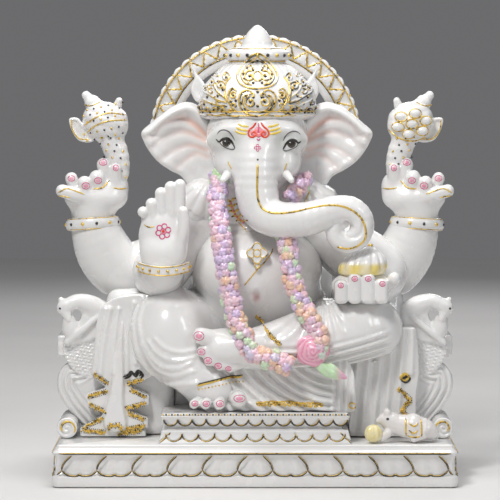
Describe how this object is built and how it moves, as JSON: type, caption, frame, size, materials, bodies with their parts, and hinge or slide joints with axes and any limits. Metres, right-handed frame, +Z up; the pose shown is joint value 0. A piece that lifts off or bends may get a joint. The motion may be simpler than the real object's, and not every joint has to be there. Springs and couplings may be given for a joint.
{
  "type": "ganesha idol",
  "caption": "Seated elephant-headed devotional figure in glossy white cast marble dust with gold line painting, on a lotus-carved plinth.",
  "frame": {"origin": "centre of the plinth's underside, the middle of the bounding box's bottom face", "axes": "+Z up; the figure faces -Y, and +X is the right of someone who faces it"},
  "size_m": [0.402, 0.23, 0.457],
  "materials": {
    "marble": "polished cast marble dust, glossy, with soft grey clouding and hand-painted gold lines",
    "painted_gold": "gold paint over cast marble dust",
    "garland_flowers": "glossy hand-painted petals in pastel lilac, pink, peach and mint",
    "garland_rose": "glossy hand-painted pink rose and bud",
    "sweet": "glossy cream with a yellow painted foot"
  },
  "bodies": {
    "root": {"base_plinth": "marble", "seat_pedestal": "marble", "throne_seat": "marble", "throne_back": "marble", "armrest_left": "marble", "armrest_right": "marble", "side_rail_left": "marble", "side_rail_right": "marble", "torso": "marble", "crown": "marble", "crown_finial": "painted_gold", "head": "marble", "trunk": "marble", "ear_left": "marble", "ear_right": "marble", "tusk_left": "marble", "tusk_right": "marble", "crown_leaf_left": "marble", "crown_leaf_right": "marble", "halo": "marble", "halo_stay": "marble", "rear_arm_left": "marble", "rear_arm_right": "marble", "rear_hand_left": "marble", "rear_hand_right": "marble", "rear_bangle_left": "marble", "rear_bangle_right": "marble", "held_vessel_left": "marble", "held_vessel_right": "marble", "front_arm_left": "marble", "front_hand_left": "marble", "front_bangle_left": "marble", "front_arm_right": "marble", "front_hand_right": "marble", "front_bangle_right": "marble", "modak_sweet": "sweet", "shoulder_sleeve_left": "marble", "shoulder_sleeve_right": "marble", "leg_folded": "marble", "foot_folded": "marble", "leg_down": "marble", "foot_down": "marble", "hanging_cloth": "marble", "cloth_cascade_left": "marble", "cloth_cascade_right": "marble", "peacock_body_left": "marble", "peacock_body_right": "marble", "peacock_neck_left": "marble", "peacock_neck_right": "marble", "peacock_tail_left": "marble", "peacock_tail_right": "marble", "scroll_left": "marble", "scroll_right": "marble", "garland": "garland_flowers", "garland_rose": "garland_rose", "garland_bud": "garland_rose", "pendant": "painted_gold", "mouse": "marble"}
  },
  "joints": []
}
